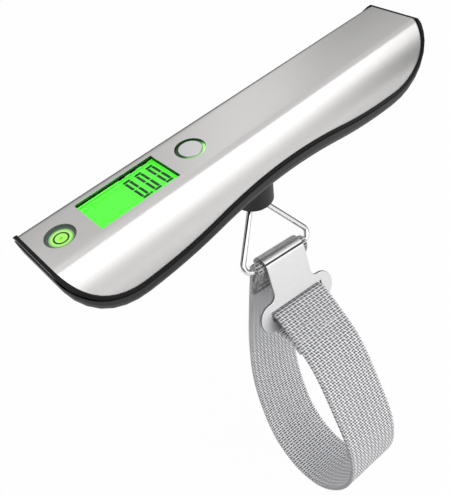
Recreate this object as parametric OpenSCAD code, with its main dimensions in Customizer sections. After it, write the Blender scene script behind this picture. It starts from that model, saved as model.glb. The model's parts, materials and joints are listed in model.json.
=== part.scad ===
// Digital luggage scale: a bent steel cover over two black mouldings, with a
// lit display, a bull's-eye level, one button, a load cell and a hanging strap.
// The origin is the centre of the flat top, X runs along the body, Z is up.

/* [Body] */
// Length of the steel cover
body_l = 155; // [140:1:175]
// Half width of the flat top, up to the crease
flat_half = 9.9; // [9.6:0.1:10.4]
// Angle of the crease between the flat top and the flanks
crease_deg = 42; // [40:0.5:44]
// Radius of the bend along the crease
crease_r = 3.4; // [2.5:0.1:3.6]
// Radius of the bowed flanks
flank_r = 24.7; // [24:0.1:26]
// Depth of the cover's edge under the two lobes
lobe_drop = 16.2; // [15.8:0.1:17]
// Depth of the cover's edge at the waist
waist_drop = 11.1; // [10.5:0.1:12]
// Radius of the cover's ends in side view
end_r = 21; // [20:0.5:23]
// Thickness of the steel sheet
cover_t = 0.8; // [0.5:0.1:1]

/* [Mouldings] */
// Wall of the upper frame
frame_t = 1.6; // [1.2:0.1:2]
// Height of the frame's rim below the cover's edge
rim_drop = 1.4; // [1.2:0.1:2]
// How far the rim stands out past the cover
rim_proud = 0.5; // [0.2:0.1:0.8]
// Thickness of the black lip past each end of the cover
end_lip = 1.05; // [0.9:0.05:1.4]
// Height of the parting groove under the rim
groove_h = 0.5; // [0.3:0.1:0.8]
// Depth of the lower housing below the cover's edge at the waist
shell_drop = 9.4; // [9:0.1:10.5]
// Depth of the lower housing below the cover's edge under the lobes
lobe_shell = 8.4; // [8:0.1:9.5]
// Wall of the lower housing
shell_t = 2; // [1.6:0.1:2.4]
// Radius of the lower housing's long edges
shell_corner = 7.5; // [5:0.5:8]
// Depth at which the screw posts of the two mouldings meet
post_meet = 12; // [11.5:0.5:14]

/* [Boss and load hook] */
// Diameter of the boss at its mouth
boss_d = 14.6; // [13.5:0.1:16]
// Diameter of the boss at its root
boss_root_d = 16; // [15:0.1:18]
// Depth of the boss's mouth below the flat top
boss_drop = 36.8; // [35:0.1:38]
// Diameter of the boss's mouth hole
boss_bore_d = 12; // [11.6:0.1:12.4]
// Chamfer round the boss's mouth
boss_edge = 0.5; // [0.3:0.1:0.6]
// Thickness of the hook's eye
eye_wire = 2.8; // [2.4:0.1:3]
// Diameter of the hole in the eye
eye_hole = 5.2; // [4.8:0.1:5.4]
// Diameter of the hook's stem
stem_d = 4.4; // [4:0.1:4.8]

/* [Triangle ring] */
// Wire of the ring
ring_wire = 2.2; // [1.8:0.1:2.4]
// Length of the ring's base between its corner points
ring_base = 37.6; // [36:0.2:44]
// Height of the ring from its base to its apex point
ring_height = 25.1; // [22:0.1:30]
// Bend radius of the ring's two lower corners
ring_bend = 3; // [2.8:0.1:3.2]
// Bend radius of the ring's apex
apex_bend = 3.6; // [3.4:0.1:4]
// Turn of the hook and ring about the load axis
swivel_deg = -2; // [-30:1:30]
// Lean of the ring in its own plane
tilt_deg = 8; // [-10:1:10]
// Swing of the ring from hanging straight down
swing_deg = -36; // [-45:1:0]

/* [Strap and hook plate] */
// Width of the webbing
strap_w = 25; // [20:0.5:25.5]
// Thickness of the webbing
strap_t = 1.4; // [1:0.1:1.5]
// Length of the strap's loop below the ring's base
loop_l = 103; // [95:1:120]
// Depth of the strap's loop from its far leg to its near leg
loop_w = 58; // [52:1:64]
// Length of the sewn flap under the ring's base
flap_l = 13; // [8:1:18]
// Length of the sewn fold at the hook plate
fold_l = 16; // [10:1:20]
// Thickness of the hook plate
plate_t = 1.2; // [0.8:0.1:1.4]
// Width of the plate's neck and curl
neck_w = 19; // [15:0.5:20]
// Width of the plate across its ears
plate_w = 37; // [35:0.5:42]
// Height of the ears
ear_h = 11.5; // [11:0.1:13]
// Width of the strap slot
slot_w = 26; // [25.8:0.1:28]
// Height of the strap slot
slot_h = 3.8; // [3.4:0.1:4.2]
// Distance from the ring's base to the strap bar of the plate
bar_reach = 22.6; // [22:0.1:26]
// Width of the plate's strap bar
bar_w = 4.2; // [3.8:0.1:4.4]
// Lean of the hook plate from upright
plate_deg = 22; // [15:1:28]
// Sweep of the plate's curl over the ring's base
curl_deg = 158; // [130:1:165]

/* [Display, level and button] */
// Distance of the window's middle from the display end
window_in = 31.75; // [31:0.25:33]
// Length of the window
window_l = 28.4; // [26:0.1:29]
// Width of the window
window_w = 14.9; // [13:0.1:15.5]
// Depth of the lens below the flat top
lens_drop = 1.4; // [1:0.1:1.8]
// Distance of the level from the display end
level_in = 8.2; // [7.6:0.1:9]
// Diameter of the hole round the level
level_hole = 9.4; // [9:0.1:10]
// Diameter of the level's capsule
vial_d = 7.7; // [7:0.1:8]
// Distance of the button from the display end
button_in = 55.9; // [55:0.1:58]
// Diameter of the hole round the button
button_hole = 10; // [9.4:0.1:10.6]
// Diameter of the button's cap
button_d = 7.8; // [7:0.1:8]
// Travel of the button
button_travel = 0.5; // [0.3:0.1:0.6]

/* [Load cell] */
// Length of the beam
cell_l = 56; // [52:1:60]
// Width of the beam
cell_w = 12; // [10:0.5:14]
// Height of the beam
cell_h = 9; // [8:0.1:10]
// Depth of the beam's top below the flat top
cell_drop = 7; // [6.8:0.1:7.4]
// Diameter of the two flexure holes
flex_d = 6.4; // [5:0.1:7]
// Distance between the flexure holes
flex_pitch = 12; // [9:0.5:14]

/* [Board and battery] */
// Depth of the board's top below the flat top
board_drop = 9; // [8.8:0.1:9.6]
// Thickness of the board
board_t = 1.2; // [0.8:0.1:1.6]
// Width of the board
board_w = 20; // [18:0.5:21]
// Distance of the battery door's middle from the display end
door_in = 27.5; // [26.5:0.5:29]
// Diameter of the battery door
door_d = 24; // [23.6:0.1:24.6]
// Diameter of the coin cell
cell_coin_d = 20; // [19:0.1:20]
// Thickness of the coin cell
cell_coin_h = 3.2; // [2.5:0.1:3.2]

/* [Clearances] */
// Gap between pieces that are fixed together
fit = 0.05; // [0.02:0.01:0.1]
// Gap round pieces that turn or slide
run = 0.1; // [0.06:0.01:0.1]
// Gap between pieces that pass each other freely
free = 0.25; // [0.2:0.05:0.4]

/* [Hidden] */
$fn = 96;
// Size that is larger than any section, for cutting
reach = boss_drop + 5;
// Overlap that makes neighbouring curves cross instead of touch
cross = 0.01;
// Side view: lobes, waist wave and end arcs
lobe_x = body_l / 2 - sqrt(end_r ^ 2 - (end_r - lobe_drop) ^ 2);
wave_h = lobe_drop - waist_drop;
wave_r = (lobe_x ^ 2 + wave_h ^ 2) / (4 * wave_h);
end_x = body_l / 2 + end_lip;
shell_r = end_x - lobe_x;
window_x = window_in - body_l / 2;
level_x = level_in - body_l / 2;
button_x = button_in - body_l / 2;
door_x = door_in - body_l / 2;
rim_r = shell_r + 1.6;
// Outlines of the display stack and of the switch
stack_l = window_l + 1.8;
stack_w = window_w + 1.7;
holder_wall = 1.2;
switch_w = 6;
// Depths of the frame's skin under the cover
skin_out = cover_t + fit;
skin_in = skin_out + frame_t;
floor_z = -waist_drop - shell_drop;
lobe_floor_z = -lobe_drop - lobe_shell;

// Centres of the flanks' curve and of the bend along the crease
bow_y = flat_half - flank_r * sin(crease_deg);
bow_z = -flank_r * cos(crease_deg);
bend_y = bow_y + sqrt((flank_r - crease_r) ^ 2 - (crease_r + bow_z) ^ 2);
bend_deg = atan2(bend_y - bow_y, -crease_r - bow_z);

// Round bar along the body
module bar(l, y, z, r) {
    translate([0, y, z])
        rotate([0, 90, 0])
            cylinder(h = l, r = r, center = true, $fn = 2 * $fn);
}

// Bar with the cross-section of the cover's outside, grown all round and cut off at the top
module profile(l, grow, top) {
    r = crease_r + grow;
    edge = flank_r + grow - cross;
    y2 = bow_y + edge * sin(bend_deg);
    z2 = bow_z + edge * cos(bend_deg);
    bent = r > 0.3;
    top_line = bent
        ? [[-reach, z2], [-y2, z2], [-bend_y, grow], [bend_y, grow], [y2, z2], [reach, z2]]
        : [[-reach, grow], [reach, grow]];
    intersection() {
        slab(-l / 2, l / 2, 2 * reach, min(top, grow), -reach);
        union() {
            intersection() {
                bar(l + 2, bow_y, bow_z, flank_r + grow);
                bar(l + 2, -bow_y, bow_z, flank_r + grow);
                along_x(l + 4)
                    polygon(concat(top_line, [[reach, -reach], [-reach, -reach]]));
            }
            if (bent)
                for (s = [-1, 1])
                    bar(l + 2, s * bend_y, cross - crease_r, r);
        }
    }
}

// Side view of all that lies above the cover's edge, let down by a drop
module side_field(drop, arc_r) {
    translate([0, -drop]) {
        difference() {
            translate([-lobe_x / 2, -lobe_drop])
                square([lobe_x, lobe_drop + reach]);
            translate([0, -waist_drop - wave_r])
                circle(wave_r);
        }
        for (s = [0, 1])
            mirror([s, 0]) {
                intersection() {
                    translate([lobe_x * 0.45, -reach])
                        square([lobe_x * 0.55, 2 * reach]);
                    translate([lobe_x, wave_r - lobe_drop - cross])
                        circle(wave_r);
                }
                translate([lobe_x, arc_r - lobe_drop - 2 * cross]) {
                    circle(arc_r);
                    square([arc_r - cross, reach]);
                }
            }
    }
}

module along_x(l) {
    rotate([90, 0, 90])
        linear_extrude(l, center = true)
            children();
}

module along_y(w) {
    rotate([90, 0, 0])
        linear_extrude(w, center = true)
            children();
}

module above_edge(drop, arc_r) {
    along_y(2 * reach)
        side_field(drop, arc_r);
}

module tube(d_out, d_in, z_top, z_bottom) {
    translate([0, 0, z_bottom])
        difference() {
            cylinder(h = z_top - z_bottom, d = d_out);
            translate([0, 0, -1])
                cylinder(h = z_top - z_bottom + 2, d = d_in);
        }
}

module rod(d, z_top, z_bottom) {
    translate([0, 0, z_bottom])
        cylinder(h = z_top - z_bottom, d = d);
}

// Block between two depths, centred across the body
module slab(x0, x1, w, z_top, z_bottom) {
    translate([x0, -w / 2, z_bottom])
        cube([x1 - x0, w, z_top - z_bottom]);
}

module steel_cover() {
    color("silver")
        difference() {
            intersection() {
                difference() {
                    profile(body_l + 2, 0, 0);
                    profile(body_l + 4, -cover_t, -cover_t);
                }
                above_edge(0, end_r);
            }
            top_holes(0);
        }
}

// Openings in the flat top, shared by the cover and the frame's skin
module top_holes(level_shrink) {
    slab(window_x - window_l / 2, window_x + window_l / 2, window_w, 1, -skin_in - 1);
    translate([level_x, 0])
        rod(level_hole - level_shrink, 1, -skin_in - 1);
    translate([button_x, 0])
        rod(button_hole, 1, -skin_in - 1);
}

// Case screws, posts and board posts
screw_x = lobe_x + 8.3;
screw_y = 9;
screw_d = 2.5;
screw_head_d = 5.2;
screw_head_h = 1.8;
post_d = 6;
seat_z = -post_meet - 7;
case_points = [[screw_x, screw_y], [screw_x, -screw_y], [-screw_x, screw_y], [-screw_x, -screw_y]];
board_x0 = window_x - stack_l / 2 - holder_wall;
board_x1 = button_x + switch_w / 2 + 1.5;
board_screw_d = 2;
board_post_d = 4.8;
board_post = [window_x + stack_l / 2 + holder_wall + board_post_d / 2 + free, board_w / 2 - board_post_d / 2];
board_z = -board_drop;

module upper_frame() {
    color("#222222")
        difference() {
            union() {
                intersection() {
                    difference() {
                        profile(body_l + 2 * fit, -skin_out, -skin_out);
                        profile(body_l + 2, -skin_in, -skin_in);
                    }
                    above_edge(rim_drop, rim_r);
                }
                intersection() {
                    difference() {
                        profile(2 * end_x, rim_proud, 0);
                        profile(2 * end_x + 2, -skin_in, -skin_in);
                    }
                    difference() {
                        above_edge(rim_drop - groove_h, rim_r - groove_h);
                        above_edge(fit, end_r + fit);
                    }
                }
                intersection() {
                    difference() {
                        profile(2 * end_x, rim_proud, 0);
                        slab(-body_l / 2 - fit, body_l / 2 + fit, 2 * reach, reach, -reach);
                    }
                    above_edge(rim_drop - groove_h, rim_r - groove_h);
                }
                intersection() {
                    difference() {
                        profile(body_l + 2 * fit + 2 * cross, -skin_out, -skin_out);
                        slab(frame_t - body_l / 2, body_l / 2 - frame_t, 2 * reach, reach, -reach);
                    }
                    above_edge(rim_drop, rim_r);
                }
                intersection() {
                    union() {
                        for (p = case_points)
                            translate(p)
                                rod(post_d, 0, -post_meet);
                        for (s = [-1, 1])
                            translate([board_post.x, s * board_post.y])
                                rod(board_post_d, 0, board_z);
                    }
                    profile(body_l, -skin_out - frame_t / 2, 0);
                }
            }
            top_holes(level_hole - vial_d - 4 * fit);
            for (p = case_points)
                translate(p)
                    rod(screw_d, -skin_in - 1, -post_meet - 1);
            for (s = [-1, 1])
                translate([board_post.x, s * board_post.y])
                    rod(board_screw_d, -skin_in - 1, board_z - 1);
        }
}

// Lower housing: rounded sections strung along the wave and round the ends
shell_steps = 12;
end_steps = 8;
corner_steps = 6;

// Wave that runs from one depth at the waist to another at the lobes
function wave_z(x, waist_z, lobe_z) =
    let (h = waist_z - lobe_z, r = (lobe_x ^ 2 + h ^ 2) / (4 * h))
    x < lobe_x / 2
        ? sqrt(r ^ 2 - x ^ 2) - r + waist_z
        : r + lobe_z - sqrt(r ^ 2 - (lobe_x - x) ^ 2);

function rim_z(x) = x < lobe_x
    ? wave_z(x, -waist_drop, -lobe_drop) - rim_drop
    : rim_r - lobe_drop - rim_drop - sqrt(rim_r ^ 2 - (x - lobe_x) ^ 2);

function half_w(z) = bow_y + sqrt(flank_r ^ 2 - (z - bow_z) ^ 2);

// Stations from the waist to one end: place, floor and parting height
half_stations = concat(
    [for (i = [0:shell_steps]) let (x = lobe_x * i / shell_steps)
        [x, wave_z(x, floor_z, lobe_floor_z), rim_z(x)]],
    [for (i = [1:end_steps]) let (a = 90 * i / end_steps, x = lobe_x + shell_r * sin(a))
        [x, lobe_floor_z + shell_r * (1 - cos(a)), rim_z(x)]]
);
last_station = len(half_stations) - 1;
stations = concat(
    [for (i = [last_station:-1:1]) [-half_stations[i].x, half_stations[i][1], half_stations[i][2]]],
    half_stations
);

function shell_ring(s, inset) =
    let (
        x = s.x * (1 - inset / end_x),
        w = half_w(s[2]) + rim_proud / 2 - inset,
        z = s[1] + inset,
        r = max(0.4, min(shell_corner, 0.9 * (s[2] - s[1])) - inset)
    )
    concat(
        [[x, -w, reach / 4]],
        [for (i = [0:corner_steps]) let (a = 180 + 90 * i / corner_steps) [x, r - w + r * cos(a), z + r + r * sin(a)]],
        [for (i = [0:corner_steps]) let (a = 270 + 90 * i / corner_steps) [x, w - r + r * cos(a), z + r + r * sin(a)]],
        [[x, w, reach / 4]]
    );

module shell_body(inset) {
    rings = [for (s = stations) shell_ring(s, inset)];
    n = len(rings[0]);
    m = len(rings);
    sides = [for (i = [0:m - 2], j = [0:n - 1]) let (k = (j + 1) % n, a = i * n, b = a + n)
        each [[a + j, b + j, b + k], [a + j, b + k, a + k]]];
    polyhedron(
        points = [for (r = rings) each r],
        faces = concat(sides, [[for (j = [0:n - 1]) j]], [[for (j = [n - 1:-1:0]) (m - 1) * n + j]])
    );
}

// Battery door and its pad
door_t = 1.8;
door_face_z = lobe_floor_z - 0.2;
door_inner_z = door_face_z + door_t;
lug_h = 1;
lug_deg = 13;
coin_slot = [14, 2, 0.8];
lug_d = door_d + 3.2;
lug_z = door_inner_z + 0.4;
pad_d = lug_d + 1;
tray_wall = 1.4;
tray_d = cell_coin_d + 0.4;
cell_z0 = door_inner_z + fit;
cell_z1 = cell_z0 + cell_coin_h;

module lug_pair(d, z_top, z_bottom, spread) {
    intersection() {
        rod(d, z_top, z_bottom);
        for (s = [0, 180])
            rotate(s)
                translate([0, 0, z_bottom - 1])
                    linear_extrude(z_top - z_bottom + 2)
                        polygon([[0, 0], reach * [cos(spread), -sin(spread)], reach * [cos(spread), sin(spread)]]);
    }
}

// Load cell places
cell_x0 = -6;
cell_x1 = cell_x0 + cell_l;
cell_z1_top = -cell_drop;
cell_z0_bottom = -cell_drop - cell_h;
mount_x = [cell_x1 - 12, cell_x1 - 4];
mount_d = 3;
flex_x = 22;
boss_step_z = -boss_drop + 7.5;
stem_bore_d = stem_d + 2;

module lower_housing() {
    color("#2a2a2a")
        difference() {
            union() {
                difference() {
                    shell_body(0);
                    shell_body(shell_t);
                }
                intersection() {
                    shell_body(shell_t / 2);
                    union() {
                        for (p = case_points)
                            translate(p)
                                rod(post_d + 0.6, -post_meet - fit, -reach);
                        slab(mount_x[0] - 5, mount_x[1] + 5, cell_w, cell_z0_bottom, -reach);
                    }
                }
                translate([0, 0, -boss_drop])
                    cylinder(h = boss_edge, d1 = boss_d - 2 * boss_edge, d2 = boss_d);
                translate([0, 0, boss_edge - boss_drop])
                    cylinder(h = boss_drop - boss_edge + floor_z + shell_t / 2, d1 = boss_d, d2 = boss_root_d);
                translate([door_x, 0])
                    rod(pad_d, lug_z - fit, door_face_z);
            }
            above_edge(rim_drop + fit, rim_r + fit);
            rod(boss_bore_d, boss_step_z, -reach);
            rod(stem_bore_d, 0, -reach);
            translate([door_x, 0]) {
                rod(door_d + 2 * run, reach, -reach);
                rod(lug_d + 2 * run, 0, lug_z - fit);
                rotate(45)
                    lug_pair(lug_d + 2 * run, 0, -reach, lug_deg + 3);
            }
            for (p = case_points)
                translate(p) {
                    rod(screw_d + 0.6, 0, -reach);
                    rod(screw_head_d + 0.6, seat_z, -reach);
                }
            for (x = mount_x)
                translate([x, 0])
                    rod(mount_d, 0, cell_z0_bottom - 6.5);
        }
}

// Display stack
lens_flange = 1.3;
lens_z = -skin_in - fit;
flange_z = lens_z - 0.7;
lcd_t = 1.7;
light_t = 1.6;
lcd_z = flange_z - 2 * fit;
light_z = lcd_z - lcd_t - fit;
shelf_z = light_z - light_t - fit;
zebra_w = 1.6;

module display_lens() {
    color("#b8ffb0")
        union() {
            slab(window_x - window_l / 2 + fit, window_x + window_l / 2 - fit, window_w - 2 * fit, -lens_drop, lens_z - cross);
            slab(window_x - window_l / 2 - lens_flange, window_x + window_l / 2 + lens_flange,
                window_w + 2 * lens_flange, lens_z, flange_z);
        }
}

module lcd_panel() {
    color("#64ff4b")
        slab(window_x - stack_l / 2, window_x + stack_l / 2, stack_w, lcd_z, lcd_z - lcd_t);
}

module backlight_panel() {
    color("white")
        translate([window_x - stack_l / 2, -stack_w / 2, shelf_z + fit])
            cube([stack_l, stack_w - zebra_w - 3 * fit, light_t]);
}

module zebra_strip() {
    color("#555555")
        translate([window_x - stack_l / 2 + 1, stack_w / 2 - zebra_w, board_z])
            cube([stack_l - 2, zebra_w, lcd_z - lcd_t - board_z]);
}

module lcd_holder() {
    color("ivory")
        difference() {
            slab(window_x - stack_l / 2 - holder_wall, window_x + stack_l / 2 + holder_wall,
                stack_w + 2 * holder_wall, flange_z - fit, board_z);
            slab(window_x - stack_l / 2 - fit, window_x + stack_l / 2 + fit, stack_w + 2 * fit, 0, shelf_z);
            slab(window_x - stack_l / 2 + 2, window_x + stack_l / 2 - 2, stack_w - 8, 0, -reach);
            translate([window_x - stack_l / 2 + 1 - fit, stack_w / 2 - zebra_w - fit, -reach])
                cube([stack_l - 2 + 2 * fit, zebra_w + 2 * fit, reach]);
        }
}

// Bull's-eye level
vial_wall = 0.7;
vial_top_z = -skin_out - 0.1;
vial_z = -skin_in - 3.2;
plug_h = 0.8;
vial_bore = vial_d - 2 * vial_wall;

module level_vial() {
    color("#e8ffe0")
        translate([level_x, 0])
            difference() {
                union() {
                    rod(vial_d, vial_top_z, vial_z);
                    rod(vial_d + 2.6, -skin_in - fit, -skin_in - 0.9);
                }
                rod(vial_bore, vial_top_z - vial_wall, vial_z - 1);
            }
}

module level_fluid() {
    color("#96eb6e")
        translate([level_x, 0])
            difference() {
                rod(vial_bore - 2 * fit, vial_top_z - vial_wall - fit, vial_z + plug_h + fit);
                translate([0, 0, vial_top_z - vial_wall - fit])
                    sphere(r = 0.9);
            }
}

module level_plug() {
    color("#303030")
        translate([level_x, 0])
            rod(vial_bore - 2 * fit, vial_z + plug_h, vial_z);
}

// Button stack
collar_z = -skin_in - 0.9;
flange_top_z = collar_z - free;
flange_bottom_z = flange_top_z - 0.8;
plunger_d = 3.4;
switch_top_z = flange_bottom_z - button_travel - 0.5;
plunger_z = switch_top_z - 1;

module button_light_ring() {
    color("#2f9a2f")
        translate([button_x, 0]) {
            difference() {
                union() {
                    rod(button_hole - 2 * fit, -cover_t, collar_z + cross);
                    rod(button_hole + 2.4, -skin_in - fit, collar_z);
                }
                rod(button_d + 2 * run, 1, -reach);
            }
        }
}

module power_button() {
    color("gainsboro")
        translate([button_x, 0]) {
            rod(button_d, 0, flange_bottom_z);
            rod(button_d + 1.8, flange_top_z, flange_bottom_z);
        }
}

module switch_plunger() {
    color("dimgray")
        translate([button_x, 0])
            rod(plunger_d, flange_bottom_z, plunger_z);
}

module tact_switch() {
    color("black")
        translate([button_x, 0])
            difference() {
                slab(-switch_w / 2, switch_w / 2, switch_w, switch_top_z, board_z);
                rod(plunger_d + 2 * run, 0, plunger_z - button_travel - free);
            }
}

module main_board() {
    color("darkgreen")
        difference() {
            slab(board_x0, board_x1, board_w, board_z, board_z - board_t);
            for (s = [-1, 1])
                translate([board_post.x, s * board_post.y])
                    rod(board_screw_d + 0.4, 0, -reach);
        }
}

module chip_blob() {
    color("black")
        translate([board_post.x - 3, 0])
            rod(8, board_z - board_t, board_z - board_t - 1.4);
}

// Pan-head screw that points up, with its seat at the origin
module screw(d, head_d, head_h, l) {
    color("lightgray") {
        rod(d - 2 * fit, l, -head_h / 2);
        difference() {
            rod(head_d, 0, -head_h);
            translate([0, 0, -head_h]) {
                cube([head_d * 0.6, d * 0.25, head_h], center = true);
                cube([d * 0.25, head_d * 0.6, head_h], center = true);
            }
        }
    }
}

module board_screw(side) {
    translate([board_post.x, side * board_post.y, board_z - board_t])
        screw(board_screw_d, 3.6, 1.4, board_t + 4);
}

module board_screw_front() {
    board_screw(-1);
}

module board_screw_back() {
    board_screw(1);
}

module case_screw(i) {
    translate([case_points[i].x, case_points[i].y, seat_z])
        screw(screw_d, screw_head_d, screw_head_h, -seat_z - skin_in - 2);
}

module case_screw_1() {
    case_screw(0);
}

module case_screw_2() {
    case_screw(1);
}

module case_screw_3() {
    case_screw(2);
}

module case_screw_4() {
    case_screw(3);
}

// Binocular bending beam: free end on the load axis, fixed end on the housing
module load_cell() {
    color("lightsteelblue")
        difference() {
            slab(cell_x0, cell_x1, cell_w, cell_z1_top, cell_z0_bottom);
            translate([flex_x, 0, -cell_drop - cell_h / 2])
                rotate([90, 0, 0]) {
                    for (s = [-1, 1])
                        translate([s * flex_pitch / 2, 0])
                            cylinder(h = 2 * reach, d = flex_d, center = true);
                    cube([flex_pitch, flex_d * 0.4, 2 * reach], center = true);
                }
            rod(stem_d + 2 * run, 0, -reach);
            for (x = mount_x)
                translate([x, 0])
                    rod(mount_d + 0.2, 0, -reach);
        }
}

gauge_t = 0.2;
gauge_l = flex_pitch + 6;

module gauge_top() {
    color("goldenrod")
        slab(flex_x - gauge_l / 2, flex_x + gauge_l / 2, cell_w * 0.5, cell_z1_top + gauge_t, cell_z1_top);
}

module gauge_bottom() {
    color("goldenrod")
        slab(flex_x - gauge_l / 2, flex_x + gauge_l / 2, cell_w * 0.5, cell_z0_bottom, cell_z0_bottom - gauge_t);
}

// Flat lead from the top gauge past the hook's nut to the board
module gauge_ribbon() {
    color("orange") {
        translate([board_x1 - 1, -cell_w / 2, cell_z1_top])
            cube([flex_x - gauge_l / 2 - board_x1 + 1, 1.2, gauge_t]);
        translate([flex_x - gauge_l / 2 - 1.2, -cell_w / 2, cell_z1_top])
            cube([1.2, cell_w * 0.5, gauge_t]);
        translate([board_x1 - 1, -cell_w / 2, board_z])
            cube([gauge_t, 1.2, cell_z1_top - board_z + gauge_t]);
    }
}

module cell_screw(i) {
    translate([mount_x[i], 0, cell_z1_top])
        rotate([180, 0, 0])
            screw(mount_d, 5.4, 1.8, cell_h + 5);
}

module cell_screw_inner() {
    cell_screw(0);
}

module cell_screw_outer() {
    cell_screw(1);
}

// Load hook: eye below, stem up through the beam, nut on a washer
washer_t = 0.6;
nut_af = 7;
nut_z0 = cell_z1_top + washer_t + run;
nut_z1 = -skin_in - 0.9;
hinge_z = -boss_drop - 0.9;
eye_bar_z = hinge_z - ring_wire / 2 - 0.15 - eye_wire / 2;
eye_r = (eye_hole + eye_wire) / 2;
eye_z = eye_bar_z + eye_r;

module thrust_washer() {
    color("gainsboro")
        tube(nut_af + 2, stem_d + 4 * run, cell_z1_top + washer_t, cell_z1_top);
}

module load_hook() {
    color("gainsboro")
        rotate(swivel_deg) {
            translate([0, 0, eye_z])
                rotate([0, 90, 0])
                    rotate_extrude()
                        translate([eye_r, 0])
                            circle(d = eye_wire);
            rod(stem_d, nut_z1 + 0.3, eye_z + eye_r);
            rod(stem_d + 1, cell_z0_bottom - free, eye_z + eye_r - eye_wire * 0.2);
        }
}

module hook_nut() {
    color("silver")
        rotate(swivel_deg)
            difference() {
                translate([0, 0, nut_z0])
                    cylinder(h = nut_z1 - nut_z0, d = nut_af / cos(30), $fn = 6);
                rod(stem_d + 2 * fit, 0, -reach);
            }
}

// Coin cell in the tray of its door, and the two leaves that reach it
module coin_cell() {
    color("silver")
        translate([door_x, 0]) {
            rod(cell_coin_d, cell_z1 - 0.5, cell_z0);
            rod(cell_coin_d - 2.4, cell_z1, cell_z0);
        }
}

module battery_door() {
    color("#262626")
        translate([door_x, 0])
            difference() {
                union() {
                    rod(door_d, door_inner_z, door_face_z);
                    tube(tray_d + 2 * tray_wall, tray_d, cell_z1 - 0.6, door_inner_z - cross);
                    difference() {
                        lug_pair(lug_d, lug_z + lug_h, lug_z, lug_deg);
                        rod(tray_d + tray_wall, 0, -reach);
                    }
                }
                translate([0, 0, door_face_z])
                    cube([coin_slot.x, coin_slot.y, 2 * coin_slot.z], center = true);
            }
}

leaf_t = 0.4;
leaf_w = 3;

module contact_centre() {
    color("gold") {
        slab(door_x - leaf_t, door_x, leaf_w, board_z - board_t, cell_z1 + run);
        slab(door_x - leaf_t, door_x + 4, leaf_w, cell_z1 + run + leaf_t, cell_z1 + run);
    }
}

module contact_edge() {
    x1 = door_x + cell_coin_d / 2 - 0.1;
    color("gold") {
        slab(x1 - leaf_t, x1, leaf_w, board_z - board_t, cell_z1 - 0.5 + run);
        slab(x1 - 1, x1, leaf_w, cell_z1 - 0.5 + run + leaf_t, cell_z1 - 0.5 + run);
    }
}

// Triangle ring, drawn in the XZ plane with its apex bend at the origin
apex_deg = atan2(ring_base / 2, ring_height);
apex_rise = apex_bend * (1 / sin(apex_deg) - 1);
base_z = apex_rise - ring_height;
base_deg = 90 - apex_deg;
corner_l = ring_bend / tan(base_deg / 2);
straight_half = ring_base / 2 - corner_l;
leg_l = norm([ring_base / 2, ring_height]);

module at_ring() {
    translate([0, 0, hinge_z])
        rotate([swing_deg, tilt_deg, swivel_deg])
            children();
}

// Bend of the wire about Y, from one angle in the XZ plane through a sweep
module wire_bend(x, z, r, from, sweep) {
    translate([x, 0, z])
        rotate([90, 0, 0])
            rotate(from)
                rotate_extrude(angle = sweep)
                    translate([r, 0])
                        circle(d = ring_wire);
}

module triangle_ring() {
    leg_tangent = apex_bend / tan(apex_deg);
    leg_run = leg_l - leg_tangent - corner_l;
    lap = 10 * cross;
    color("white")
        at_ring() {
            wire_bend(0, -apex_bend, apex_bend, apex_deg, 180 - 2 * apex_deg);
            wire_bend(-straight_half, base_z + ring_bend, ring_bend, 180 - apex_deg, 90 + apex_deg);
            wire_bend(straight_half, base_z + ring_bend, ring_bend, -90, 90 + apex_deg);
            translate([0, 0, base_z])
                rotate([0, 90, 0])
                    cylinder(h = 2 * (straight_half + lap), d = ring_wire - 2 * cross, center = true);
            for (s = [-1, 1])
                translate([0, 0, apex_rise])
                    rotate([0, s * (180 - apex_deg), 0])
                        translate([0, 0, leg_tangent - lap])
                            cylinder(h = leg_run + 2 * lap, d = ring_wire - 2 * cross);
        }
}

// Strap frame: X along the ring's base, origin on the base's middle
module at_base() {
    at_ring()
        translate([0, 0, base_z])
            rotate([-swing_deg, 0, 0])
                children();
}

wrap_r = ring_wire / 2 + run + strap_t / 2;
curl_in = wrap_r + strap_t / 2 + free;
plate_n = curl_in + plate_t / 2;
loop_r = bar_w / 2 + 0.2 + strap_t / 2;
ear_r = ear_h / 2;
ear_top = bar_reach + bar_w / 2 - ear_h;
slot_top = bar_reach - bar_w / 2 - slot_h;
fillet_r = 3;

// Outline of the plate below the ring's base, with depth running down
module plate_outline() {
    difference() {
        union() {
            translate([-neck_w / 2, -ear_top - ear_r])
                square([neck_w, ear_top + ear_r]);
            translate([-plate_w / 2 + ear_r, -ear_top - ear_h + cross])
                square([plate_w - ear_h, ear_h - 2 * cross]);
            for (s = [-1, 1])
                translate([s * (plate_w / 2 - ear_r), -ear_top - ear_r])
                    circle(ear_r);
            for (s = [0, 1])
                mirror([s, 0])
                    difference() {
                        translate([neck_w / 2 - cross, -ear_top - 2 * cross])
                            square([fillet_r, fillet_r]);
                        translate([neck_w / 2 + fillet_r, fillet_r - ear_top])
                            circle(fillet_r + cross);
                    }
        }
        translate([-slot_w / 2, -slot_top - slot_h])
            square([slot_w, slot_h]);
    }
}

module hook_plate() {
    color("whitesmoke")
        at_base()
            rotate([-plate_deg, 0, 0]) {
                translate([0, -curl_in, 0])
                    rotate([90, 0, 0])
                        linear_extrude(plate_t)
                            plate_outline();
                along_x(neck_w)
                    difference() {
                        intersection() {
                            circle(curl_in + plate_t);
                            translate([-reach, 0])
                                square([2 * reach, reach]);
                        }
                        circle(curl_in);
                        rotate(180 - curl_deg)
                            translate([0, -reach])
                                square([reach, reach]);
                    }
            }
}

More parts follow.
